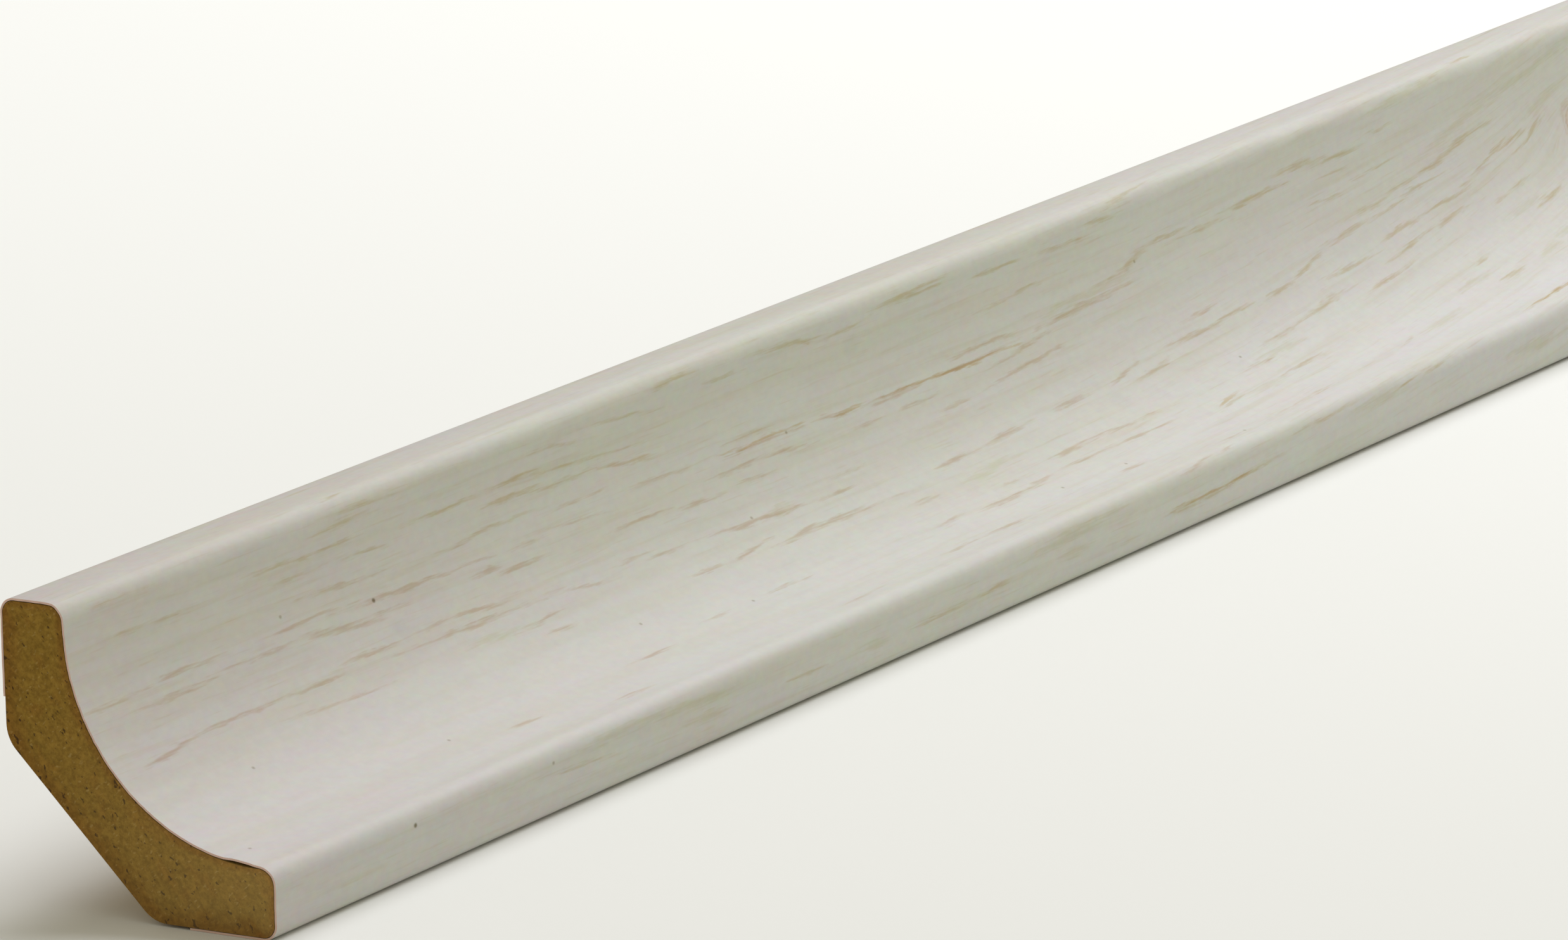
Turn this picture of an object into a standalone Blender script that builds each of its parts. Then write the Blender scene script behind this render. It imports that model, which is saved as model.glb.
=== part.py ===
"""A square-cut length of cove moulding: a fibreboard profile with a decor foil wrapped over its face.

The section is worked out in depth from the wall plane and height above the base plane, and it is the same
either side of its diagonal. The length runs along X, the wall is towards +Y and the cove looks towards -Y.
The origin is halfway along, on the wall plane, in the middle of the strip of foil that lies against the wall.
"""

import math

import bpy

NAME = "cove_moulding"

# Driving dimensions, in metres
LENGTH = 0.250
LEG_REACH = 0.022
TIP_THICKNESS = 0.00525
THROAT_THICKNESS = 0.0052
INNER_TIP_RADIUS = 0.0014
OUTER_TIP_RADIUS = 0.0011
BACK_CORNER_RADIUS = 0.0026
FOIL_THICKNESS = 0.00015
FOIL_HEM = 0.0060

# Clearance between the foil and the core, where the glue is
GLUE_LINE = 0.00005

# Straight runs in each rounded stretch
COVE_STEPS = 28
CORNER_STEPS = 8
BACK_CORNER_STEPS = 8

# Angles of a rounded stretch's ends, in degrees from the depth axis towards the height axis
TOWARDS_WALL = 180
TOWARDS_TIP = 90
TOWARDS_ROOM = 0
TOWARDS_BACK_CORNER = 225

# What follows from them
COVE_CENTRE = LEG_REACH - INNER_TIP_RADIUS
COVE_RADIUS = COVE_CENTRE - TIP_THICKNESS
COVE_MIDDLE = COVE_CENTRE - COVE_RADIUS / math.sqrt(2)
BEVEL_REACH = 2 * COVE_MIDDLE - math.sqrt(2) * THROAT_THICKNESS
CORE_INSET = FOIL_THICKNESS + GLUE_LINE
HEM_END = LEG_REACH - OUTER_TIP_RADIUS - FOIL_HEM
ORIGIN_HEIGHT = HEM_END + FOIL_HEM / 2


def arc(centre, radius, start, end, steps):
    """Points along a round stretch, its ends included."""
    points = []
    for step in range(steps + 1):
        angle = math.radians(start + (end - start) * step / steps)
        points.append((centre[0] + radius * math.cos(angle), centre[1] + radius * math.sin(angle)))
    return points


def mirrored(points):
    """The same points on the other leg, in the order that carries the outline on."""
    return [(height, depth) for depth, height in reversed(points)]


def half_face(inset):
    """From the wall side of the upper tip to the middle of the cove, this far in from the foil's outer face."""
    outer_centre = (OUTER_TIP_RADIUS, LEG_REACH - OUTER_TIP_RADIUS)
    inner_centre = (TIP_THICKNESS - INNER_TIP_RADIUS, LEG_REACH - INNER_TIP_RADIUS)
    outer = arc(outer_centre, OUTER_TIP_RADIUS - inset, TOWARDS_WALL, TOWARDS_TIP, CORNER_STEPS)
    inner = arc(inner_centre, INNER_TIP_RADIUS - inset, TOWARDS_TIP, TOWARDS_ROOM, CORNER_STEPS)
    cove = arc(
        (COVE_CENTRE, COVE_CENTRE), COVE_RADIUS + inset, TOWARDS_WALL, TOWARDS_BACK_CORNER, COVE_STEPS
    )
    return outer + inner + cove[1:]


def whole_face(inset):
    half = half_face(inset)
    return half + mirrored(half)[1:]


def back_corner(inset):
    """The rounded corner between the upper leg's back flat and the bevel, from the bevel upwards."""
    bevel_gap = BACK_CORNER_RADIUS * math.sqrt(2)
    centre = (inset + BACK_CORNER_RADIUS, BEVEL_REACH + bevel_gap - inset - BACK_CORNER_RADIUS)
    return arc(centre, BACK_CORNER_RADIUS, TOWARDS_BACK_CORNER, TOWARDS_WALL, BACK_CORNER_STEPS)


def foil_path():
    """The outer face of the foil, from the end of one hem to the end of the other."""
    return [(0, HEM_END)] + whole_face(0) + [(HEM_END, 0)]


def core_outline():
    corner = back_corner(CORE_INSET)
    return whole_face(CORE_INSET) + mirrored(corner) + corner


def extruded(name, points, closed):
    """A 2D curve of these depths and heights, drawn out along the whole length."""
    curve = bpy.data.curves.new(name, "CURVE")
    curve.dimensions = "2D"
    curve.fill_mode = "BOTH" if closed else "NONE"
    curve.extrude = LENGTH / 2
    spline = curve.splines.new("POLY")
    spline.points.add(len(points) - 1)
    for point, (depth, height) in zip(spline.points, points):
        point.co = (depth, height, 0, 1)
    spline.use_cyclic_u = closed
    spline.use_smooth = True
    piece = bpy.data.objects.new(name, curve)
    # Depth turns towards -Y, height towards +Z, and the length along X
    piece.rotation_euler = (math.pi / 2, 0, -math.pi / 2)
    piece.location = (0, 0, -ORIGIN_HEIGHT)
    return piece


def finish_with(piece, colour, roughness):
    material = bpy.data.materials.new(piece.name)
    material.use_nodes = True
    shader = material.node_tree.nodes["Principled BSDF"]
    shader.inputs["Base Color"].default_value = (*colour, 1)
    shader.inputs["Roughness"].default_value = roughness
    shader.inputs["Metallic"].default_value = 0
    piece.data.materials.append(material)


def mdf_core():
    """The fibreboard profile, cut square at both ends."""
    piece = extruded("mdf_core", core_outline(), closed=True)
    finish_with(piece, colour=(0.19, 0.11, 0.03), roughness=0.85)
    return piece


def decor_foil():
    """The printed foil: an open sheet over the face, thickened towards the core."""
    piece = extruded("decor_foil", foil_path(), closed=False)
    sheet = piece.modifiers.new("Thickness", "SOLIDIFY")
    sheet.thickness = FOIL_THICKNESS
    sheet.offset = -1
    sheet.use_even_offset = True
    finish_with(piece, colour=(0.62, 0.60, 0.54), roughness=0.45)
    return piece


def clear_scene():
    for old in list(bpy.data.objects):
        bpy.data.objects.remove(old)


def main():
    clear_scene()
    collection = bpy.data.collections.new(NAME)
    bpy.context.scene.collection.children.link(collection)
    holder = bpy.data.objects.new(NAME, None)
    holder.empty_display_size = LEG_REACH
    collection.objects.link(holder)
    for piece in (mdf_core(), decor_foil()):
        piece.parent = holder
        collection.objects.link(piece)


main()
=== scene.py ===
"""The looks of a square-cut length of cove moulding: fibreboard wrapped in a whitewashed wood-grain foil.

"Along" is the distance from the near end. "Across" is the distance over the foil's outer face, from the hem's
edge on the wall, over the upper tip, down the cove and round the lower tip to the hem's edge on the base.
Both are in millimetres, and so are the lengths in the materials.
"""

import math

import bpy
import numpy as np
from mathutils import Matrix, Vector, noise
from mathutils.geometry import delaunay_2d_cdt


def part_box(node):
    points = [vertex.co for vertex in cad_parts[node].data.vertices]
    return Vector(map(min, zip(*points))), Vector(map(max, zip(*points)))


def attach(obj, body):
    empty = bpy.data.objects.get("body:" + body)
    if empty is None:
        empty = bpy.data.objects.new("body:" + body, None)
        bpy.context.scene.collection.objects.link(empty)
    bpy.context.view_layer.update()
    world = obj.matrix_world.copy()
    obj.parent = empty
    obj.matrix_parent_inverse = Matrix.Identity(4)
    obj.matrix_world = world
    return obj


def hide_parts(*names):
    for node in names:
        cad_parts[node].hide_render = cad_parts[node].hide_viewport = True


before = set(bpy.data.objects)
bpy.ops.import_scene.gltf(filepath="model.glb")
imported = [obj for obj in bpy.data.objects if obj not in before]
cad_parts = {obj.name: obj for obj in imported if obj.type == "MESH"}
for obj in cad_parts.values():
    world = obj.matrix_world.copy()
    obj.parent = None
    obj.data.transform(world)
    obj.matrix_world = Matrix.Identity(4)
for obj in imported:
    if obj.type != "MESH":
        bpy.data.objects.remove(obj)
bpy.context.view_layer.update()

MM = 0.001

# The section's sizes in millimetres, as in the part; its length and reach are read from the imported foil
foil_low, foil_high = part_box("decor_foil")
LENGTH = (foil_high.x - foil_low.x) / MM
LEG_REACH = (foil_high.z - foil_low.z) / MM
BASE_LEVEL = foil_low.z
NEAR_END = foil_low.x
TIP_THICKNESS = 5.25
THROAT_THICKNESS = 5.2
INNER_TIP_RADIUS = 1.4
OUTER_TIP_RADIUS = 1.1
BACK_CORNER_RADIUS = 2.6
FOIL_THICKNESS = 0.15
FOIL_HEM = 6.0
GLUE_LINE = 0.05
COVE_CENTRE = LEG_REACH - INNER_TIP_RADIUS
COVE_RADIUS = COVE_CENTRE - TIP_THICKNESS
COVE_MIDDLE = COVE_CENTRE - COVE_RADIUS / math.sqrt(2)
BEVEL_REACH = 2 * COVE_MIDDLE - math.sqrt(2) * THROAT_THICKNESS
CORE_INSET = FOIL_THICKNESS + GLUE_LINE
HEM_END = LEG_REACH - OUTER_TIP_RADIUS - FOIL_HEM

# Fineness of the meshes
COVE_STEPS = 34
CORNER_STEPS = 9
LONGEST_STEP = 0.5
ROW_SPACING = 1.1
NEAR_GRAIN = 0.14
FAR_GRAIN = 0.22
SHARP_ANGLE = 50

# Where the two rounded inner tip corners are across the foil, and how far to each side of them it is wavy
UPPER_CORNER = 11.6
LOWER_CORNER = 37.9
UPPER_WAVES_REACH = 1.5
LOWER_WAVES_REACH = 1.4

# The waves' height at the near end, what they gain, and from where to where along they and the feathers grow
LEAST_WAVES = 0.025
GAIN_IN_WAVES = 0.150
WAVES_GROW = (95, 190)
FEATHERS_GROW = (110, 190)
SHARE_OF_FEATHERS = 0.45

# The foil's lip that is lifted beside the lower tip at the near end, and its nibbled edge there
LIP_LIFT = 0.15
LIP_ACROSS = 35.3
LIP_HALF_WIDTH = 1.15
LIP_LENGTH = 1.7
CHIPS_REACH = 1.3
MEAN_CHIP = 0.035
CHANGE_IN_CHIPS = 0.05
DEEPEST_CHIP = 0.1

# The uneven grid over the sawn ends: rows for each column, noise, then sizes in shares of its spacing
ROWS_PER_COLUMN = 1.16
GRID_NOISE = 7.3
GRID_ROW_HEIGHT = 0.866
GRID_UNEVENNESS = 0.25
GRID_CLEARANCE = 0.6

# How deep the saw has torn into the ends, where the tears are at their full depth, and the fibres' slant
MEAN_TEAR = 0.028
COARSE_TEAR = 0.030
FINE_TEAR = 0.022
FULL_TEARS_FROM_RIM = 0.25
SLANT_COSINE = 0.8
SLANT_SINE = 0.6

# The grain is level to one place along, then climbs with the square of the distance, more so low in the cove
GRAIN_LEVEL_TO = 115
GRAIN_CLIMB = 0.00038
LOWER_GRAIN_CLIMB = 0.00030

# The knot that the grain climbs towards and parts round
KNOT_ALONG = 233.5
KNOT_ACROSS = 20.1
KNOT_RADIUS = 2.6
KNOT_RING_RATE = 24
KNOT_CLIMB = 0.006
KNOT_CLIMB_FROM = 210
PARTING = 2.3
PARTING_WIDTH = 3.2
PARTING_LENGTH = 11

# Distances from the foil and from the back that the core's long faces are coloured by
LONG_FACE_FOIL_GAP = 3.0
LONG_FACE_BACK_GAP = 0.9

# Camera, from a fit to the photograph's edges
CAMERA_PLACE = (-0.700763, -0.400545, 0.176062)
CAMERA_HEADING = 30.3905
CAMERA_DOWN = 13.2018
CAMERA_ROLL = -1.0748
CAMERA_LENS = 239.864
SENSOR_WIDTH = 36

# Lights, with the sky seen against a paler backdrop near the horizon
SKY = (0.40, 0.385, 0.31)
BACKDROP = (0.84, 0.83, 0.79)
KEY_POWER = 9.3
KEY_SIZE = 0.95
KEY_PLACE = (0.62, -0.02, 0.78)
KEY_COLOUR = (0.97, 0.985, 1.03)
BACKDROP_FADES = (0.02, 0.14)

# The floor, a hair below the moulding, in two close tones
FLOOR_HALF = 4.0
FLOOR_GAP = 0.00002
FLOOR_TONES = ((0.905, 0.905, 0.895), (0.915, 0.915, 0.905))


def step_between(value, start, end):
    """0 before start, 1 after end and a smooth rise between."""
    share = min(max((value - start) / (end - start), 0), 1)
    return share * share * (3 - 2 * share)


def arc(centre, radius, start, end, steps):
    points = []
    for step in range(steps + 1):
        angle = math.radians(start + (end - start) * step / steps)
        points.append((centre[0] + radius * math.cos(angle), centre[1] + radius * math.sin(angle)))
    return points


def mirrored(points):
    return [(height, depth) for depth, height in reversed(points)]


def half_face():
    """Depths and heights of the foil's outer face, from the wall side of the upper tip to mid-cove."""
    outer_centre = (OUTER_TIP_RADIUS, LEG_REACH - OUTER_TIP_RADIUS)
    inner_centre = (TIP_THICKNESS - INNER_TIP_RADIUS, LEG_REACH - INNER_TIP_RADIUS)
    outer = arc(outer_centre, OUTER_TIP_RADIUS, 180, 90, CORNER_STEPS)
    inner = arc(inner_centre, INNER_TIP_RADIUS, 90, 0, CORNER_STEPS)
    cove = arc((COVE_CENTRE, COVE_CENTRE), COVE_RADIUS, 180, 225, COVE_STEPS)
    return outer + inner + cove[1:]


def with_short_steps(points):
    """The same line with its long straight runs divided."""
    line = [points[0]]
    for start, end in zip(points, points[1:]):
        pieces = max(1, math.ceil(math.dist(start, end) / LONGEST_STEP))
        for piece in range(1, pieces + 1):
            share = piece / pieces
            line.append((start[0] + (end[0] - start[0]) * share, start[1] + (end[1] - start[1]) * share))
    return line


def outward_normals(points):
    line = np.array(points)
    ahead = np.vstack([line[1:], line[-1:]])
    behind = np.vstack([line[:1], line[:-1]])
    run = ahead - behind
    run /= np.linalg.norm(run, axis=1)[:, None]
    return np.column_stack([-run[:, 1], run[:, 0]])


def distances_across(points):
    steps = [math.dist(a, b) for a, b in zip(points, points[1:])]
    return np.concatenate([[0], np.cumsum(steps)])


half = half_face()
FACE = with_short_steps([(0, HEM_END)] + half + mirrored(half)[1:] + [(HEM_END, 0)])
ACROSS = distances_across(FACE)
NORMALS = outward_normals(FACE)
FACE = np.array(FACE)
ON_TIPS_AND_COVE = (ACROSS >= FOIL_HEM - 1e-6) & (ACROSS <= ACROSS[-1] - FOIL_HEM + 1e-6)


def row_places():
    """Distances along for the rows of the meshes, close together at the cut ends."""
    ends = [0, 0.15, 0.35, 0.6, 0.9, 1.3, 1.8, 2.5, 3.4, 4.5]
    count = round((LENGTH - 2 * ends[-1]) / ROW_SPACING)
    middle = np.linspace(ends[-1], LENGTH - ends[-1], count + 1)
    return ends[:-1] + list(middle) + [LENGTH - place for place in reversed(ends[:-1])]


def wave(place, length, layer):
    """A smooth uneven line with waves of about this length; each layer is another line."""
    return noise.noise(Vector((place / length, layer, 0)))


def beside(centre, reach, power=2):
    """1 at this place across, fading out over this reach to both sides."""
    return np.exp(-(((ACROSS - centre) / reach) ** power))


def waviness(along):
    """How far the face stands out from true at this place along, where its two inner tip corners are wavy."""
    size = LEAST_WAVES + GAIN_IN_WAVES * step_between(along, *WAVES_GROW)
    upper = wave(along, 9.5, layer=3.1) + 0.4 * wave(along, 3.4, layer=9.7)
    lower = wave(along, 12.0, layer=17.3) + 0.3 * wave(along, 4.0, layer=23.9)
    near_upper = beside(UPPER_CORNER, UPPER_WAVES_REACH)
    near_lower = beside(LOWER_CORNER, LOWER_WAVES_REACH)
    # Beyond the middle the corners are feathered as well, by short ridges that follow the grain
    feather = [noise.noise(Vector((along / 4.5, across / 0.9, 41.3))) for across in ACROSS]
    feathering = SHARE_OF_FEATHERS * step_between(along, *FEATHERS_GROW)
    feathered = feathering * np.array(feather) * (near_upper + near_lower)
    return size * (upper * near_upper + 1.4 * lower * near_lower + feathered)


def lifted_lip(along):
    """How far the foil has come away from the core beside the lower tip, at the cut near end."""
    fade = math.exp(-((along / LIP_LENGTH) ** 2))
    return LIP_LIFT * fade * beside(LIP_ACROSS, LIP_HALF_WIDTH, power=4)


def chipped(along):
    """How far the saw has nibbled the foil's edge back from the cut near end."""
    if along > CHIPS_REACH:
        return np.zeros(len(ACROSS))
    chips = [MEAN_CHIP + CHANGE_IN_CHIPS * wave(across, 0.55, layer=5.5) for across in ACROSS]
    return np.clip(chips, 0, DEEPEST_CHIP) * (1 - along / CHIPS_REACH)


def section_rows(inset_from_face, keep):
    """The kept points of the face in each row, as along, depth and height, moved in by the inset."""
    rows = []
    for along in row_places():
        shift = waviness(along) - inset_from_face
        points = FACE + NORMALS * shift[:, None]
        rows.append(np.column_stack([np.full(len(points), along), points])[keep])
    return rows


def in_row_frame(points):
    """From along, depth and height in millimetres to metres in the part's frame."""
    points = np.asarray(points)
    return np.column_stack(
        [NEAR_END + points[:, 0] * MM, -points[:, 1] * MM, BASE_LEVEL + points[:, 2] * MM]
    )


def ring_faces(rows, ring):
    """Quads of a closed ring carried along the rows, facing outwards."""
    row, place = np.meshgrid(np.arange(rows - 1), np.arange(ring), indexing="ij")
    following = (place + 1) % ring
    this_row, next_row = row * ring, (row + 1) * ring
    corners = [this_row + place, this_row + following, next_row + following, next_row + place]
    return np.stack(corners, axis=-1).reshape(-1, 4).tolist()


def new_piece(name, points, faces, material):
    """An object from points in the row frame, smooth but for edges that turn by more than the sharp angle."""
    mesh = bpy.data.meshes.new(name)
    mesh.from_pydata(in_row_frame(points).tolist(), [], faces)
    mesh.validate()
    mesh.shade_smooth()
    mesh.set_sharp_from_angle(angle=math.radians(SHARP_ANGLE))
    mesh.materials.append(material)
    piece = bpy.data.objects.new(name, mesh)
    bpy.context.scene.collection.objects.link(piece)
    return piece


def add_values(piece, name, kind, values):
    """Keeps a number or a vector for each point, which the materials read by this name."""
    layer = piece.data.attributes.new(name, kind, "POINT")
    field = "vector" if kind == "FLOAT_VECTOR" else "value"
    layer.data.foreach_set(field, np.ravel(values).astype(np.float32))


def grain_place(along, across):
    """Across, followed back down the grain: it runs level at first, then climbs and parts round a knot."""
    climb = GRAIN_CLIMB + LOWER_GRAIN_CLIMB * np.clip((across - 15) / 6, 0, 1)
    level = across + climb * np.clip(along - GRAIN_LEVEL_TO, 0, None) ** 2
    by_knot = np.exp(-(((across - 18) / 6) ** 2))
    level += KNOT_CLIMB * np.clip(along - KNOT_CLIMB_FROM, 0, None) ** 2 * by_knot
    aside = (across - KNOT_ACROSS) / PARTING_WIDTH
    past = (along - KNOT_ALONG) / PARTING_LENGTH
    return level - PARTING * aside * np.exp(-(aside**2)) * np.exp(-(past**2))


def wrapped_foil(material):
    """The foil as a closed sheet of its real thickness, with its wavy tips, lifted lip and nibbled edge."""
    rows = row_places()
    everything = np.ones(len(ACROSS), bool)
    outer = section_rows(0, everything)
    inner = section_rows(FOIL_THICKNESS, everything)
    points, flat = [], []
    for along, out_row, in_row in zip(rows, outer, inner):
        lift = NORMALS * lifted_lip(along)[:, None]
        for row in (out_row, in_row):
            row[:, 1:] += lift
            row[:, 0] += chipped(along)
        points.append(np.vstack([out_row, in_row[::-1]]))
        across = np.concatenate([ACROSS, ACROSS[::-1]])
        flat.append(np.column_stack([points[-1][:, 0], across, np.zeros(len(across))]))
    ring = len(points[0])
    last = (len(rows) - 1) * ring
    faces = ring_faces(len(rows), ring)
    for place in range(len(ACROSS) - 1):
        opposite = ring - 1 - place
        faces.append((opposite, opposite - 1, place + 1, place))
        faces.append((last + place, last + place + 1, last + opposite - 1, last + opposite))
    piece = new_piece("wrapped_foil", np.vstack(points), faces, material)
    flat = np.vstack(flat)
    grain = flat.copy()
    grain[:, 1] = grain_place(flat[:, 0], flat[:, 1])
    add_values(piece, "flat", "FLOAT_VECTOR", flat)
    add_values(piece, "grain", "FLOAT_VECTOR", grain)
    return piece


def back_line():
    """The bare back of the core, from the lower leg's hem round to the upper leg's."""
    gap = BACK_CORNER_RADIUS * math.sqrt(2)
    centre = (CORE_INSET + BACK_CORNER_RADIUS, BEVEL_REACH + gap - CORE_INSET - BACK_CORNER_RADIUS)
    corner = arc(centre, BACK_CORNER_RADIUS, 225, 180, CORNER_STEPS)
    start = (LEG_REACH - OUTER_TIP_RADIUS, CORE_INSET)
    line = [start] + mirrored(corner) + corner + [(CORE_INSET, LEG_REACH - OUTER_TIP_RADIUS)]
    return np.array(with_short_steps(line)[1:-1])


def gaps_to_line(points, line, closed=True):
    """Each point's distance to the nearest part of a line."""
    start, end = line, np.roll(line, -1, axis=0)
    if not closed:
        start, end = start[:-1], end[:-1]
    run = end - start
    span = (run**2).sum(1)
    share = ((points[:, None, :] - start) * run).sum(2) / span
    nearest = start + np.clip(share, 0, 1)[:, :, None] * run
    return np.sqrt(((points[:, None, :] - nearest) ** 2).sum(2)).min(1)


def inside(points, line):
    """Whether each point lies within a closed line."""
    start, end = line, np.roll(line, -1, axis=0)
    above = (start[:, 1] > points[:, None, 1]) != (end[:, 1] > points[:, None, 1])
    rise = np.where(end[:, 1] == start[:, 1], 1, end[:, 1] - start[:, 1])
    crossing = start[:, 0] + (points[:, None, 1] - start[:, 1]) * (end[:, 0] - start[:, 0]) / rise
    return (above & (points[:, None, 0] < crossing)).sum(1) % 2 == 1


def end_grid(line, spacing):
    """Points on a slightly uneven grid of triangles within the section, clear of its rim."""
    count = int(LEG_REACH / spacing)
    column, row = np.meshgrid(np.arange(count), np.arange(int(count * ROWS_PER_COLUMN)))
    column, row = column.ravel(), row.ravel()
    points = np.column_stack([(column + 0.5 * (row % 2)) * spacing, row * spacing * GRID_ROW_HEIGHT])
    # Two plain noises, because Blender's noise_vector changes from run to run
    sideways, upwards = [
        [noise.noise(Vector((depth * GRID_NOISE, height * GRID_NOISE, layer))) for depth, height in points]
        for layer in (1.7, 8.9)
    ]
    points += np.column_stack([sideways, upwards]) * spacing * GRID_UNEVENNESS
    points = points[inside(points, line)]
    return points[gaps_to_line(points, line) > spacing * GRID_CLEARANCE]


def torn_depth(depth, height):
    """How deep the saw has torn into the end of the core, in pits that follow the fibres' slant."""
    down_slant = depth * SLANT_COSINE + height * SLANT_SINE
    over_slant = height * SLANT_COSINE - depth * SLANT_SINE
    aslant = Vector((down_slant, over_slant * 0.55, 0))
    coarse = noise.fractal(aslant * 1.6, 0.9, 2.0, 3)
    fine = noise.noise(aslant * 5.5)
    return max(0.0, MEAN_TEAR + COARSE_TEAR * coarse + FINE_TEAR * fine)


def end_cap(points, faces, first, ring, spacing, along, inwards):
    """Closes one end of the core with a fine torn surface that is whole at its rim."""
    line = np.array([point[1:] for point in points[first : first + ring]])
    grid = end_grid(line, spacing)
    flat_points = [Vector(p) for p in np.vstack([line, grid])]
    found, _, triangles, origins, _, _ = delaunay_2d_cdt(flat_points, [], [list(range(ring))], 1, 1e-6)
    gaps = gaps_to_line(grid, line)
    numbers = []
    for spot, origin in zip(found, origins):
        source = min(origin)
        if source < ring:
            numbers.append(first + source)
            continue
        depth = torn_depth(spot.x, spot.y) * min(1, gaps[source - ring] / FULL_TEARS_FROM_RIM)
        numbers.append(len(points))
        points.append((along + inwards * depth, spot.x, spot.y))
    for triangle in triangles:
        corners = [numbers[corner] for corner in triangle]
        a, b, c = [np.array(points[corner][1:]) for corner in corners]
        turn = (b[0] - a[0]) * (c[1] - a[1]) - (b[1] - a[1]) * (c[0] - a[0])
        # Seen from the near end, depth runs to the right and height up
        faces.append(corners if (turn > 0) == (inwards > 0) else corners[::-1])


def fibreboard_core(material):
    """The core, with the same wavy face under the foil, plain machined backs and torn sawn ends."""
    face_rows = section_rows(CORE_INSET, ON_TIPS_AND_COVE)
    back = back_line()
    points = []
    for row in face_rows:
        along = row[0, 0]
        points.extend(map(tuple, row))
        points.extend((along, depth, height) for depth, height in back)
    ring = len(face_rows[0]) + len(back)
    faces = ring_faces(len(face_rows), ring)
    on_sides = len(points)
    end_cap(points, faces, 0, ring, NEAR_GRAIN, 0, 1)
    end_cap(points, faces, on_sides - ring, ring, FAR_GRAIN, LENGTH, -1)
    piece = new_piece("fibreboard_core", points, faces, material)
    # The end rows and caps get their true distances, and the long machined faces a plain pair of values
    on_ends = np.r_[0:ring, on_sides - ring : len(points)]
    ends = np.array(points)[on_ends, 1:]
    beside_foil = np.full(len(points), LONG_FACE_FOIL_GAP)
    beside_back = np.full(len(points), LONG_FACE_BACK_GAP)
    beside_foil[on_ends] = gaps_to_line(ends, face_rows[0][:, 1:], closed=False)
    beside_back[on_ends] = gaps_to_line(ends, back, closed=False)
    add_values(piece, "foil_gap", "FLOAT", beside_foil)
    add_values(piece, "back_gap", "FLOAT", beside_back)
    return piece


# Node helpers


def node(tree, kind, inputs=(), **settings):
    """Adds a node; its inputs are sockets or values, given in order or by place or name."""
    made = tree.nodes.new("ShaderNode" + kind)
    for name, value in settings.items():
        setattr(made, name, value)
    for place, value in inputs.items() if isinstance(inputs, dict) else enumerate(inputs):
        if isinstance(value, bpy.types.NodeSocket):
            tree.links.new(value, made.inputs[place])
        else:
            made.inputs[place].default_value = value
    return made


def maths(tree, operation, *values, clamp=False):
    return node(tree, "Math", values, operation=operation, use_clamp=clamp).outputs[0]


def stretched(tree, place, scale, shift=(0, 0, 0)):
    return node(tree, "Mapping", (place, shift, (0, 0, 0), scale)).outputs[0]


def clouds(tree, place, scale=1.0, detail=2.0, rough=0.5):
    return node(tree, "TexNoise", {"Vector": place, "Scale": scale, "Detail": detail, "Roughness": rough})


def rising(tree, value, start, end, low=0.0, high=1.0):
    return node(tree, "MapRange", (value, start, end, low, high), interpolation_type="SMOOTHSTEP").outputs[0]


def opaque(colour):
    """Red, green and blue with the full cover that a node asks for; a socket stays as it is."""
    return colour if isinstance(colour, bpy.types.NodeSocket) else (*colour, 1)


def tinted(tree, share, colour, tint, blend="MULTIPLY"):
    """The colour with a tint laid over it by this share."""
    inputs = {0: share, 6: opaque(colour), 7: opaque(tint)}
    return node(tree, "Mix", inputs, data_type="RGBA", blend_type=blend).outputs[2]


def named_values(tree, name):
    return node(tree, "Attribute", attribute_name=name, attribute_type="GEOMETRY")


def new_material(name):
    material = bpy.data.materials.new(name)
    material.use_nodes = True
    tree = material.node_tree
    return material, tree, tree.nodes["Principled BSDF"]


# Grain marks in the print, each as its start and end along, then its places across at both

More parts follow.
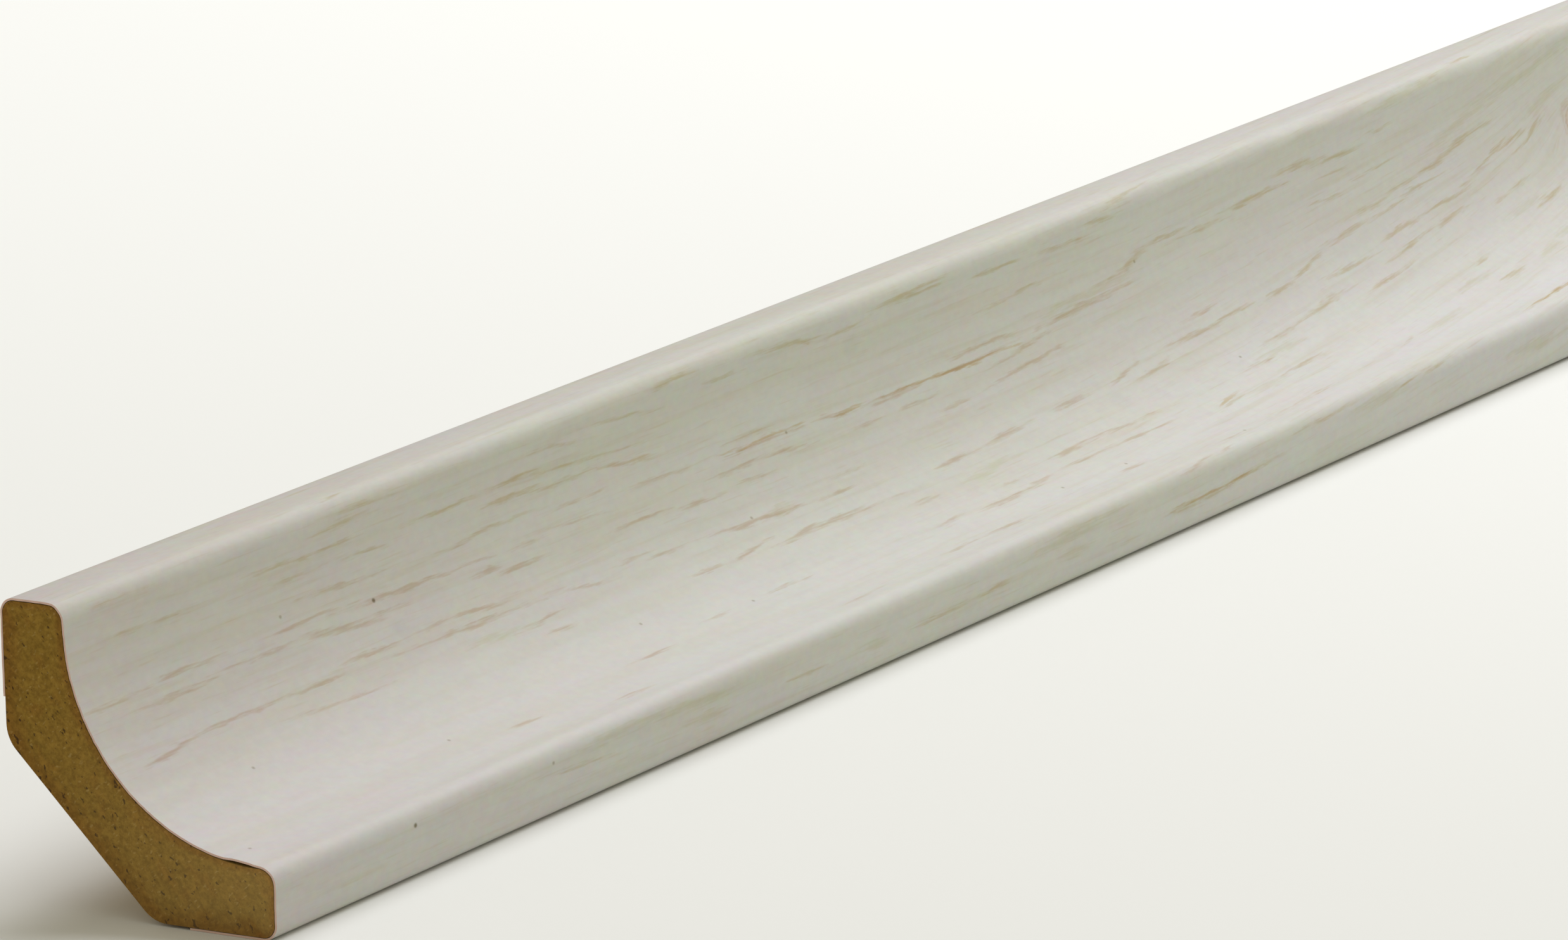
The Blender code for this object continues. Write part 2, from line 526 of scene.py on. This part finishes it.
THIN_MARKS = [
    (79.5, 84, 12.2, 12.2), (95, 103, 12.7, 13.2), (114, 123, 12.7, 12.4), (116, 123, 12.9, 12.9),
    (129, 135, 13.3, 13.3), (147.5, 151, 12.7, 12.7), (32.5, 36.5, 14.5, 14.5), (44.5, 52.5, 15.1, 15.1),
    (56, 61, 14.9, 14.9), (55.5, 61.5, 16.1, 16.1), (71, 77, 16.5, 17.1), (156, 162, 16.2, 16.0),
    (171, 179.5, 15.9, 15.7), (187, 194, 15.1, 15.0), (124, 133, 18.7, 18.7), (10.5, 13.5, 18.9, 18.9),
    (25, 32.8, 18.9, 18.9), (34, 51.7, 19.2, 19.5), (88.7, 96.8, 19.3, 19.3), (102, 105.5, 19.3, 19.7),
    (117, 131, 19.7, 19.4), (218.5, 223.5, 19.7, 19.1), (222.5, 228.5, 20.1, 18.3), (204.5, 208, 19.1, 18.8),
    (51, 52.7, 20.5, 20.5), (85, 90, 20.4, 20.4), (200.5, 207, 20.3, 19.8), (53.7, 58, 21.0, 21.0),
    (69.5, 76, 21.3, 21.3), (127, 138.5, 21.9, 21.1), (31.5, 36, 22.8, 22.8), (45.5, 51.5, 22.7, 23.0),
    (194, 199.5, 23.1, 22.7), (201, 210, 22.5, 21.8), (4, 10.5, 24.3, 23.6), (11, 21.3, 23.5, 23.4),
    (23.5, 29, 23.5, 23.5), (44, 49, 23.8, 23.8), (60.5, 63.5, 24.2, 24.6), (81, 91.5, 24.6, 24.9),
    (97, 100, 25.2, 25.2), (160, 167, 24.3, 23.9), (171, 176, 24.0, 23.5), (176, 183, 23.5, 22.2),
    (182, 189, 24.4, 24.1), (192.5, 200, 25.0, 24.0), (202, 207.5, 23.9, 23.5), (88.5, 92.5, 27.2, 27.1),
    (94.5, 98.5, 27.1, 27.0), (80, 84.5, 27.0, 26.7), (186.5, 192.5, 26.9, 26.2), (135.5, 139, 31.2, 31.2),
    (111.5, 116.5, 32.0, 31.9), (163, 168, 31.4, 31.0), (58.5, 62, 32.2, 32.2), (106.5, 111, 35.2, 35.2),
    (99.5, 103, 40.4, 40.2), (139, 148.5, 40.4, 39.8), (170, 173, 38.6, 38.4), (142.5, 145.5, 25.5, 25.0),
    (206.5, 215.5, 18.9, 17.3), (212.5, 220, 21.0, 19.1),
]
WIDE_MARKS = [
    (181, 187, 14.7, 14.7), (151, 155.5, 17.4, 16.5), (110, 116.2, 19.7, 19.7), (138, 150, 19.2, 18.6),
    (29, 36, 20.1, 20.6), (185, 192, 21.7, 21.2), (154, 160, 24.4, 24.4), (132.5, 136.5, 25.8, 25.8),
    (146, 151, 26.2, 25.7), (126.5, 130.5, 29.8, 29.8), (174.5, 180.5, 26.8, 26.0), (203, 206.5, 31.3, 31.0),
    (199, 207, 36.3, 35.2), (136, 139, 40.6, 40.5), (131, 133.5, 40.7, 40.7), (113, 117, 26.4, 26.5),
    (120.5, 126, 26.3, 25.9), (220, 224, 25.6, 24.7),
]
SOFT_MARKS = [
    (4, 10.5, 12.3, 12.3), (35, 41, 12.4, 12.4), (32, 39, 13.2, 13.2), (70.5, 78.5, 13.2, 13.8),
    (61.5, 68, 13.6, 13.9), (87.5, 91.5, 13.4, 13.4), (104.5, 111, 13.7, 13.2), (138.5, 147, 13.3, 13.7),
    (6, 8.5, 14.8, 14.8), (12, 14.5, 14.9, 14.9), (23.5, 31.5, 14.4, 14.5), (25.5, 31.5, 15.6, 15.6),
    (35, 41, 15.7, 15.9), (61, 75.5, 15.2, 15.8), (62, 70, 16.4, 16.3), (130, 141, 16.0, 15.7),
    (163, 169, 16.5, 16.5), (188, 191.5, 16.3, 16.3), (197, 200, 14.2, 14.2), (28, 38.5, 17.4, 17.5),
    (46, 60, 17.9, 17.6), (63, 68.5, 18.1, 18.1), (73.5, 81.5, 18.8, 19.1), (88.5, 94, 18.4, 18.4),
    (184, 190, 18.1, 18.1), (193, 200, 17.4, 17.0), (213, 219, 17.7, 17.2), (1, 8, 19.3, 19.0),
    (13.5, 18, 19.0, 19.0), (54.5, 59.5, 19.7, 19.7), (62, 68, 19.4, 19.7), (198, 203, 19.7, 19.3),
    (5.5, 17, 20.3, 20.3), (17, 28.5, 20.05, 20.1), (36, 40, 20.4, 20.4), (91, 99, 20.5, 20.7),
    (128, 137, 20.5, 19.8), (190, 198, 20.4, 19.8), (78.5, 84, 21.7, 21.7), (106, 109, 21.0, 21.0),
    (114, 118, 20.9, 20.9), (192, 200, 21.1, 20.6), (210, 215, 21.4, 20.8), (87.5, 92, 21.6, 21.6),
    (118.5, 123, 22.2, 22.2), (40, 44.5, 22.7, 22.7), (158, 163, 23.2, 22.8), (213, 220, 24.0, 22.9),
    (36.5, 57, 23.7, 23.9), (67.5, 70.5, 23.8, 23.8), (72, 76, 24.3, 24.3), (100, 103, 24.0, 24.0),
    (22, 32, 25.1, 25.5), (52, 57, 25.6, 25.4), (54, 57, 26.8, 26.8), (75, 79, 26.9, 26.9),
    (85.5, 104, 27.3, 27.4), (105, 108, 28.8, 28.8), (131, 144, 29.6, 29.8), (123, 135, 31.3, 31.2),
    (139, 143, 31.2, 31.2), (104, 108, 31.8, 31.5), (118, 122, 31.8, 31.5), (116.5, 119.5, 30.5, 30.4),
    (160, 163.5, 29.3, 29.3), (164, 172, 27.8, 27.2), (38, 42, 33.5, 33.5), (50, 53.5, 35.7, 35.7),
    (82, 87, 36.1, 35.9), (153, 163, 35.7, 35.1), (178.5, 180.5, 33.9, 33.5), (133, 140, 37.9, 37.5),
    (173, 179, 38.4, 37.9), (90, 98, 40.7, 40.5), (38, 44, 39.7, 40.1), (71, 74, 40.4, 40.5),
    (152, 160, 38.6, 38.3), (79.5, 84, 31.1, 31.2), (98, 103, 35.1, 35.1), (202.5, 204.5, 28.6, 28.3),
    (34, 37, 11.0, 11.0), (151, 157.5, 11.8, 11.2), (214, 217, 11.0, 11.0), (70, 72.5, 31.2, 31.2),
    (129, 132, 34.5, 34.5), (142, 146, 36.3, 36.3), (150, 154, 32.4, 31.7), (168, 170, 30.9, 30.9),
    (236, 243, 25.4, 25.0), (240, 248, 23.1, 23.6), (229, 237, 30.2, 29.5), (241, 249, 16.2, 16.9),
    (235, 241, 34.1, 33.7), (232, 242, 40.3, 40.5), (226, 233, 27.6, 26.8), (238, 245, 28.3, 28.1),
]
OLIVE_MARKS = [
    (139, 151, 18.4, 17.9), (226.5, 232, 17.7, 16.5), (52, 60, 38.9, 39.2), (108, 120, 39.2, 38.5),
    (116, 120.5, 28.4, 28.3), (114, 117, 28.7, 28.7), (186, 191, 33.2, 32.6), (217, 221, 29.2, 28.6),
    (212, 216, 30.4, 29.6), (214, 219, 25.5, 25.1), (156, 161, 32.1, 31.8), (164, 169, 28.9, 28.7),
    (196.5, 200.5, 30.7, 30.2), (45, 50, 25.3, 25.3), (163, 170, 39.0, 38.7), (89, 91, 24.7, 24.7),
    (42, 52, 38.7, 38.7), (56, 60, 40.2, 40.5), (81, 84, 40.6, 40.6), (113, 116, 40.2, 40.2),
    (190, 200, 40.0, 40.0), (198, 209, 12.6, 11.7), (207, 221, 17.4, 14.9), (219, 234, 15.6, 13.2),
]
OCHRE_MARKS = [
    (89, 96.5, 19.1, 19.0), (104.5, 106.5, 19.6, 19.5), (115, 131, 19.6, 19.7),
    (131.5, 142, 40.5, 40.2), (197.5, 206.5, 36.3, 35.4), (151, 152.5, 31.7, 31.4),
]
DARK_SPECKS = [(37.25, 19.35), (18.0, 38.9)]
FAINT_SPECKS = [
    (25.8, 17.95), (86.0, 24.4), (160.2, 27.95), (96.3, 19.3), (154, 17.05), (3.0, 34.2), (13.2, 27.4),
    (32.3, 32.0), (63.5, 29.0), (76.5, 31.2), (121, 33.3), (130.7, 33.7), (146.3, 36.1), (36.5, 38.8),
]
GREY_SPOTS = [(38.8, 22.1), (108.5, 14.9), (140.3, 27.2)]

# Half a mark's length is this share of the way between its ends, and this much more
HALF_LENGTH_SHARE = 0.85
OVERRUN = 1.5

# A spot's length for its width
SPOT_STRETCH = 1.25

# How strongly the fibres and the breaks between them fray a mark
FRAYED_BY_FIBRES = 1.9
FRAYED_BY_BREAKS = 1.1

# The whitewash's tone at these places across; the last stop, on the lower tip's face and beyond, is darker as
# painted shade
WHITEWASH_AND_TIP_SHADE = [
    (7.6, (0.566, 0.527, 0.514)), (10.2, (0.604, 0.566, 0.554)), (12.7, (0.596, 0.580, 0.528)),
    (17.0, (0.602, 0.580, 0.538)), (20.0, (0.610, 0.582, 0.556)), (24.0, (0.604, 0.572, 0.552)),
    (29.0, (0.602, 0.572, 0.556)), (34.0, (0.630, 0.596, 0.598)), (37.6, (0.630, 0.598, 0.594)),
    (38.9, (0.582, 0.564, 0.530)),
]
RAMP_REACH = 50

# Tints laid over the whitewash, from its slow changes of tone to the marks, the knot and the specks
NEAR_TINT = (0.998, 1.036, 1.0)
FAR_TINT = (1.008, 1.0, 1.032)
BANDS = (0.970, 0.966, 0.925)
STREAKS = (0.965, 0.948, 0.903)
DASHES = (0.952, 0.915, 0.850)
FIBRES = (0.965, 0.940, 0.895)
AROUND_BROWN = (0.975, 0.962, 0.915)
OLIVE = (0.925, 0.915, 0.82)
OLIVE_TAN = (0.880, 0.805, 0.640)
PINK_TAN = (0.880, 0.770, 0.685)
OCHRE = (0.87, 0.75, 0.57)
GREY = (0.92, 0.935, 0.965)
KNOT_STAIN = (0.90, 0.81, 0.66)
KNOT_RING = (0.86, 0.76, 0.62)
KNOT_HEART = (0.62, 0.47, 0.32)
FAINT_SPECK = (0.45, 0.40, 0.28)
DARK_SPECK = (0.24, 0.20, 0.09)
SAWN_FOIL = (0.72, 0.50, 0.42)

# The fibreboard's colours, and the tints laid over them
DARK_FIBRES = (0.200, 0.110, 0.012)
PALE_FIBRES = (0.330, 0.192, 0.029)
BROAD_PATCHES = (0.87, 0.89, 0.81)
RUSTY_PATCHES = (1.0, 0.85, 0.76)
PALE_FLECK = (0.46, 0.32, 0.11)
DARK_FLECK = (0.060, 0.030, 0.006)
FLOOR_BOUNCE_LIGHT = (0.075, 0.060, 0.033)
BACK_RIM = (0.80, 0.66, 0.56)
FOIL_RIM = (0.88, 0.72, 0.66)

# The painted floor bounce's share: its change for each metre up the section, and its value level with the
# part's origin
BOUNCE_SLOPE = -33.3
BOUNCE_START = -0.097


def ellipses(tree, place, shapes):
    """Soft ellipses, given by middle, turn and half sizes, as the strongest of them at each place."""
    total = None
    for middle, turn, size in shapes:
        turned = node(tree, "Mapping", (place, middle, (0, 0, turn), size), vector_type="TEXTURE").outputs[0]
        soft = node(tree, "TexGradient", (turned,), gradient_type="SPHERICAL").outputs[1]
        total = soft if total is None else maths(tree, "MAXIMUM", total, soft)
    return total


def marks(tree, place, lines, half_width, strength):
    """Fuzzy streaks drawn between the ends of each line, and somewhat beyond them."""
    shapes = []
    for start, end, across_start, across_end in lines:
        middle = ((start + end) / 2, (across_start + across_end) / 2, 1 - strength)
        turn = math.atan2(across_end - across_start, end - start)
        half_length = HALF_LENGTH_SHARE * (end - start) + OVERRUN
        shapes.append((middle, turn, (half_length, half_width, 1)))
    return ellipses(tree, place, shapes)


def spots(tree, place, centres, radius):
    """Soft spots, somewhat longer than they are wide."""
    shapes = [((along, across, 0), 0, (radius * SPOT_STRETCH, radius, 1)) for along, across in centres]
    return ellipses(tree, place, shapes)


def wandering(tree, flat, grain):
    """The same places pushed about a little, so that what is drawn on them is wavy and ragged."""
    wobble = clouds(tree, stretched(tree, grain, (0.20, 1.0, 1)), detail=4, rough=0.6).outputs["Color"]
    centred = node(tree, "VectorMath", (wobble, (0.5, 0.5, 0.5)), operation="SUBTRACT").outputs[0]
    push = node(tree, "VectorMath", (centred, (3.0, 1.0, 0)), operation="MULTIPLY").outputs[0]
    return node(tree, "VectorMath", (flat, push), operation="ADD").outputs[0]


def frayed(tree, mark, fibres, breaks, low, high):
    """The share of a mark that its fibres carry: most along its middle, and broken towards its rim."""
    value = maths(tree, "MULTIPLY_ADD", maths(tree, "SUBTRACT", fibres, 0.5), FRAYED_BY_FIBRES, mark)
    value = maths(tree, "MULTIPLY_ADD", maths(tree, "SUBTRACT", breaks, 0.5), FRAYED_BY_BREAKS, value)
    return maths(tree, "MULTIPLY", rising(tree, value, low, high), rising(tree, mark, 0.0, 0.3))


def tone_across(tree, across):
    """The whitewash itself: pinker on the upper tip, paler low in the cove, and darker on the lower tip as
    painted shade.
    """
    ramp = node(tree, "ValToRGB", (maths(tree, "DIVIDE", across, RAMP_REACH),))
    stops = ramp.color_ramp.elements
    while len(stops) < len(WHITEWASH_AND_TIP_SHADE):
        stops.new(0.5)
    for stop, (place, colour) in zip(stops, WHITEWASH_AND_TIP_SHADE):
        stop.position = place / RAMP_REACH
        stop.color = opaque(colour)
    return ramp.outputs[0]


def grain_ground(tree, flat, grain, along, across, fibres):
    """The whitewash between the marks: slow changes of tone, faint streaks and dashes, fine tan fibres."""
    colour = tone_across(tree, across)
    colour = tinted(tree, rising(tree, along, 0, 95), colour, NEAR_TINT)
    colour = tinted(tree, rising(tree, along, 110, 200), colour, FAR_TINT)
    patches = clouds(tree, stretched(tree, flat, (0.13, 0.42, 1)), detail=3).outputs["Color"]
    colour = tinted(tree, 0.07, colour, patches, "OVERLAY")
    mottle = clouds(tree, stretched(tree, flat, (1.1, 1.8, 1), shift=(11, 5, 0)), detail=3).outputs["Color"]
    colour = tinted(tree, 0.12, colour, mottle, "OVERLAY")

    # Low in the cove towards the near end the print is calmer than elsewhere
    calm = maths(tree, "MULTIPLY", rising(tree, across, 22, 28), rising(tree, along, 125, 60))
    calm = maths(tree, "MULTIPLY", calm, rising(tree, across, 39, 37.5))
    busy = maths(tree, "MULTIPLY_ADD", calm, -0.9, 1)

    bands = clouds(tree, stretched(tree, grain, (0.020, 0.50, 1), shift=(5, 2, 0)), detail=3).outputs[0]
    colour = tinted(tree, rising(tree, bands, 0.42, 0.66, 0.0, 0.9), colour, BANDS)
    streaks = clouds(tree, stretched(tree, grain, (0.055, 1.5, 1), shift=(31, 8, 0)), detail=3).outputs[0]
    share = maths(tree, "MULTIPLY", rising(tree, streaks, 0.50, 0.70), busy)
    colour = tinted(tree, share, colour, STREAKS)
    dashes = clouds(tree, stretched(tree, grain, (0.16, 3.4, 1), shift=(3, 57, 0)), detail=2.5).outputs[0]
    share = maths(tree, "MULTIPLY", rising(tree, dashes, 0.58, 0.76), busy)
    colour = tinted(tree, share, colour, DASHES)
    share = maths(tree, "MULTIPLY", rising(tree, fibres, 0.50, 0.78, 0.0, 0.6), busy)
    return tinted(tree, share, colour, FIBRES)


def brown_marks(tree, ragged):
    thin = marks(tree, ragged, THIN_MARKS, half_width=0.31, strength=1.0)
    wide = marks(tree, ragged, WIDE_MARKS, half_width=0.46, strength=0.95)
    soft = marks(tree, ragged, SOFT_MARKS, half_width=0.33, strength=0.62)
    return maths(tree, "MAXIMUM", maths(tree, "MAXIMUM", thin, wide), soft)


def tan_of_marks(tree, along, across):
    """Olive tan high in the cove, on the lower tip and beyond the middle, and a pinker brown elsewhere."""
    pinker = maths(tree, "MULTIPLY", rising(tree, across, 15, 20), rising(tree, across, 39.5, 38))
    pinker = maths(tree, "MULTIPLY", pinker, rising(tree, along, 195, 115, 0.2, 1.0))
    return tinted(tree, pinker, OLIVE_TAN, PINK_TAN, "MIX")


def with_knot(tree, colour, ragged, breaks):
    """Adds the knot, a tan stain round a few uneven rings and a darker heart."""
    knot = spots(tree, ragged, [(KNOT_ALONG, KNOT_ACROSS)], KNOT_RADIUS)
    colour = tinted(tree, rising(tree, knot, 0.0, 0.9), colour, KNOT_STAIN)
    uneven = maths(tree, "MULTIPLY_ADD", breaks, 0.25, knot)
    rings = maths(tree, "SINE", maths(tree, "MULTIPLY", uneven, KNOT_RING_RATE))
    rings = maths(tree, "MULTIPLY", rising(tree, rings, 0.1, 1.0), rising(tree, knot, 0.05, 0.35))
    colour = tinted(tree, maths(tree, "MULTIPLY", rings, 0.7), colour, KNOT_RING)
    return tinted(tree, rising(tree, knot, 0.72, 0.98), colour, KNOT_HEART)


def with_specks(tree, colour, flat):
    faint = spots(tree, flat, FAINT_SPECKS, radius=0.20)
    colour = tinted(tree, rising(tree, faint, 0.0, 0.8, 0, 0.6), colour, FAINT_SPECK)
    dark = spots(tree, flat, DARK_SPECKS, radius=0.28)
    return tinted(tree, rising(tree, dark, 0.1, 0.8, 0, 0.85), colour, DARK_SPECK)


def with_sawn_edge(tree, colour):
    """Shows the foil's own pinkish body where it is sawn through at the ends."""
    facing = node(tree, "SeparateXYZ", (node(tree, "TexCoord").outputs["Normal"],)).outputs[0]
    cut_share = rising(tree, maths(tree, "ABSOLUTE", facing), 0.6, 0.9)
    return tinted(tree, cut_share, colour, SAWN_FOIL, "MIX")


def add_satin_skin(tree, shader, flat, fibres, brown_share):
    """A satin skin, pebbled by the board beneath, and a little drier on the marks."""
    sheen = clouds(tree, stretched(tree, flat, (0.5, 1.2, 1), shift=(2, 9, 0)), detail=2).outputs[0]
    gloss = maths(tree, "MULTIPLY_ADD", sheen, 0.12, 0.52)
    gloss = maths(tree, "MULTIPLY_ADD", brown_share, 0.08, gloss)
    tree.links.new(gloss, shader.inputs["Roughness"])
    pebbles = clouds(tree, stretched(tree, flat, (0.75, 0.95, 1)), detail=2.5, rough=0.45).outputs[0]
    lift = maths(tree, "MULTIPLY_ADD", fibres, 0.10, pebbles)
    bump = node(tree, "Bump", {"Strength": 0.5, "Distance": 0.00004, "Height": lift}).outputs[0]
    tree.links.new(bump, shader.inputs["Normal"])
    shader.inputs["Specular IOR Level"].default_value = 0.25


def decor_material():
    """Whitewashed oak: fine fibres, frayed tan, olive and ochre marks, a knot, specks and a satin skin."""
    material, tree, shader = new_material("decor_print")
    flat = named_values(tree, "flat").outputs["Vector"]
    grain = named_values(tree, "grain").outputs["Vector"]
    places = node(tree, "SeparateXYZ", (flat,))
    along, across = places.outputs[0], places.outputs[1]
    ragged = wandering(tree, flat, grain)
    fibres = clouds(tree, stretched(tree, grain, (0.28, 5.2, 1)), detail=4, rough=0.62).outputs[0]
    breaks = clouds(tree, stretched(tree, grain, (0.45, 2.4, 1), shift=(7, 3, 0)), detail=3).outputs[0]

    colour = grain_ground(tree, flat, grain, along, across, fibres)
    brown = brown_marks(tree, ragged)
    brown_share = frayed(tree, brown, fibres, breaks, 0.10, 1.05)
    colour = tinted(tree, rising(tree, brown, 0.0, 0.7, 0.0, 0.6), colour, AROUND_BROWN)
    olive = marks(tree, ragged, OLIVE_MARKS, half_width=0.65, strength=0.85)
    colour = tinted(tree, frayed(tree, olive, fibres, breaks, 0.0, 0.9), colour, OLIVE)
    colour = tinted(tree, brown_share, colour, tan_of_marks(tree, along, across))
    ochre = marks(tree, ragged, OCHRE_MARKS, half_width=0.27, strength=1.0)
    colour = tinted(tree, frayed(tree, ochre, fibres, breaks, 0.05, 0.8), colour, OCHRE)
    grey = spots(tree, ragged, GREY_SPOTS, radius=1.25)
    colour = tinted(tree, rising(tree, grey, 0.0, 0.7, 0, 0.5), colour, GREY)
    colour = with_knot(tree, colour, ragged, breaks)
    colour = with_specks(tree, colour, flat)
    colour = with_sawn_edge(tree, colour)
    tree.links.new(colour, shader.inputs["Base Color"])
    add_satin_skin(tree, shader, flat, fibres, brown_share)
    return material


def with_painted_floor_bounce(tree, colour, place):
    """Painted light: the board grows paler and less yellow from the upper leg to the end of the lower one, as
    if lit by the floor's bounce.
    """
    parts = node(tree, "SeparateXYZ", (place,))
    up_the_section = maths(tree, "ADD", parts.outputs[1], parts.outputs[2])
    share = maths(tree, "MULTIPLY_ADD", up_the_section, BOUNCE_SLOPE, BOUNCE_START, clamp=True)
    return tinted(tree, maths(tree, "POWER", share, 1.6), colour, FLOOR_BOUNCE_LIGHT, "ADD")


def board_material():
    """Fibreboard: short matted olive-brown fibres and flecks, redder along the foil and the back."""
    material, tree, shader = new_material("raw_fibreboard")
    foil_gap = named_values(tree, "foil_gap").outputs["Fac"]
    back_gap = named_values(tree, "back_gap").outputs["Fac"]
    in_metres = node(tree, "TexCoord").outputs["Object"]
    slant = (math.radians(38), 0, 0)
    place = node(tree, "Mapping", (in_metres, (0, 0, 0), slant, (1000, 1000, 1000))).outputs[0]
    matted = clouds(tree, stretched(tree, place, (1.8, 2.2, 2.0)), detail=6, rough=0.75).outputs[0]
    broad = clouds(tree, stretched(tree, place, (0.28, 0.45, 0.35)), detail=3).outputs[0]
    dark = clouds(tree, stretched(tree, place, (2.3, 3.4, 2.1), shift=(4, 9, 2)), detail=1.5).outputs[0]
    pale = clouds(tree, stretched(tree, place, (2.4, 2.2, 4.4), shift=(1, 6, 8)), detail=1.5).outputs[0]
    rusty = clouds(tree, stretched(tree, place, (0.7, 0.8, 0.6), shift=(8, 2, 5)), detail=3).outputs[0]
    colour = tinted(tree, rising(tree, matted, 0.34, 0.66), DARK_FIBRES, PALE_FIBRES, "MIX")
    colour = tinted(tree, rising(tree, broad, 0.38, 0.62, 0, 0.6), colour, BROAD_PATCHES)
    colour = tinted(tree, rising(tree, rusty, 0.52, 0.70, 0, 0.5), colour, RUSTY_PATCHES)
    colour = tinted(tree, rising(tree, pale, 0.61, 0.74, 0, 0.45), colour, PALE_FLECK, "MIX")
    # The dark flecks lie closer together towards the back
    flecks = maths(tree, "MULTIPLY_ADD", rising(tree, back_gap, 2.2, 0.1), 0.03, dark)
    colour = tinted(tree, rising(tree, flecks, 0.665, 0.73, 0, 0.9), colour, DARK_FLECK, "MIX")
    # Painted light: the lower leg is paler, where light bounced off the floor would fall
    colour = with_painted_floor_bounce(tree, colour, in_metres)
    # The redder rims come and go in width
    uneven = maths(tree, "MULTIPLY_ADD", rusty, 2.6, -1.3)
    back_rim = rising(tree, maths(tree, "ADD", back_gap, uneven), 0.0, 1.7, 0.85, 0.0)
    colour = tinted(tree, back_rim, colour, BACK_RIM)
    foil_rim = rising(tree, maths(tree, "MULTIPLY_ADD", uneven, 0.4, foil_gap), 0.0, 0.7, 0.8, 0.0)
    colour = tinted(tree, foil_rim, colour, FOIL_RIM)
    tree.links.new(colour, shader.inputs["Base Color"])
    tree.links.new(maths(tree, "MULTIPLY_ADD", matted, 0.16, 0.78), shader.inputs["Roughness"])
    rough = maths(tree, "MULTIPLY_ADD", dark, -0.4, matted)
    bump = node(tree, "Bump", {"Strength": 0.4, "Distance": 0.00006, "Height": rough}).outputs[0]
    tree.links.new(bump, shader.inputs["Normal"])
    shader.inputs["Specular IOR Level"].default_value = 0.2
    return material


def floor_material():
    material, tree, shader = new_material("pale_floor")
    place = node(tree, "TexCoord").outputs["Object"]
    tone = clouds(tree, place, 1.5, detail=2).outputs[0]
    colour = tinted(tree, rising(tree, tone, 0.3, 0.7), *FLOOR_TONES, "MIX")
    tree.links.new(colour, shader.inputs["Base Color"])
    shader.inputs["Roughness"].default_value = 0.9
    shader.inputs["Specular IOR Level"].default_value = 0.1
    return material


def add_floor():
    mesh = bpy.data.meshes.new("floor")
    side = FLOOR_HALF
    corners = [(-side, -side, 0), (side, -side, 0), (side, side, 0), (-side, side, 0)]
    mesh.from_pydata(corners, [], [(0, 1, 2, 3)])
    mesh.materials.append(floor_material())
    floor = bpy.data.objects.new("floor", mesh)
    floor.location.z = BASE_LEVEL - FLOOR_GAP
    bpy.context.scene.collection.objects.link(floor)


def add_sky():
    """A soft even sky over a paler backdrop."""
    world = bpy.data.worlds.new("studio")
    bpy.context.scene.world = world
    world.use_nodes = True
    tree = world.node_tree
    direction = node(tree, "TexCoord").outputs["Generated"]
    height = node(tree, "SeparateXYZ", (direction,)).outputs[2]
    share = rising(tree, height, *BACKDROP_FADES)
    colour = tinted(tree, share, BACKDROP, SKY, "MIX")
    tree.links.new(colour, tree.nodes["Background"].inputs["Color"])


def add_key_light():
    """One large soft light overhead, beyond the middle and a little behind, aimed at the moulding."""
    light = bpy.data.lights.new("key", "AREA")
    light.shape = "DISK"
    light.size = KEY_SIZE
    light.energy = KEY_POWER
    light.color = KEY_COLOUR
    key = bpy.data.objects.new("key", light)
    key.location = KEY_PLACE
    key.rotation_mode = "QUATERNION"
    key.rotation_quaternion = (-Vector(KEY_PLACE)).to_track_quat("-Z", "Y")
    key.visible_camera = False
    bpy.context.scene.collection.objects.link(key)


def add_camera():
    lens = bpy.data.cameras.new("camera")
    lens.sensor_width = SENSOR_WIDTH
    lens.lens = CAMERA_LENS
    lens.clip_start = 0.01
    lens.clip_end = 50
    camera = bpy.data.objects.new("camera", lens)
    heading = Matrix.Rotation(math.radians(CAMERA_HEADING - 90), 4, "Z")
    tilt = Matrix.Rotation(math.radians(90 - CAMERA_DOWN), 4, "X")
    roll = Matrix.Rotation(math.radians(CAMERA_ROLL), 4, "Z")
    camera.matrix_world = Matrix.Translation(CAMERA_PLACE) @ heading @ tilt @ roll
    bpy.context.scene.collection.objects.link(camera)
    bpy.context.scene.camera = camera


bpy.context.scene.view_settings.view_transform = "Standard"
add_camera()
add_floor()
add_sky()
add_key_light()

foil = wrapped_foil(decor_material())
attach(foil, "root")
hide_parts("decor_foil")

core = fibreboard_core(board_material())
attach(core, "root")
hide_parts("mdf_core")

bpy.context.view_layer.update()
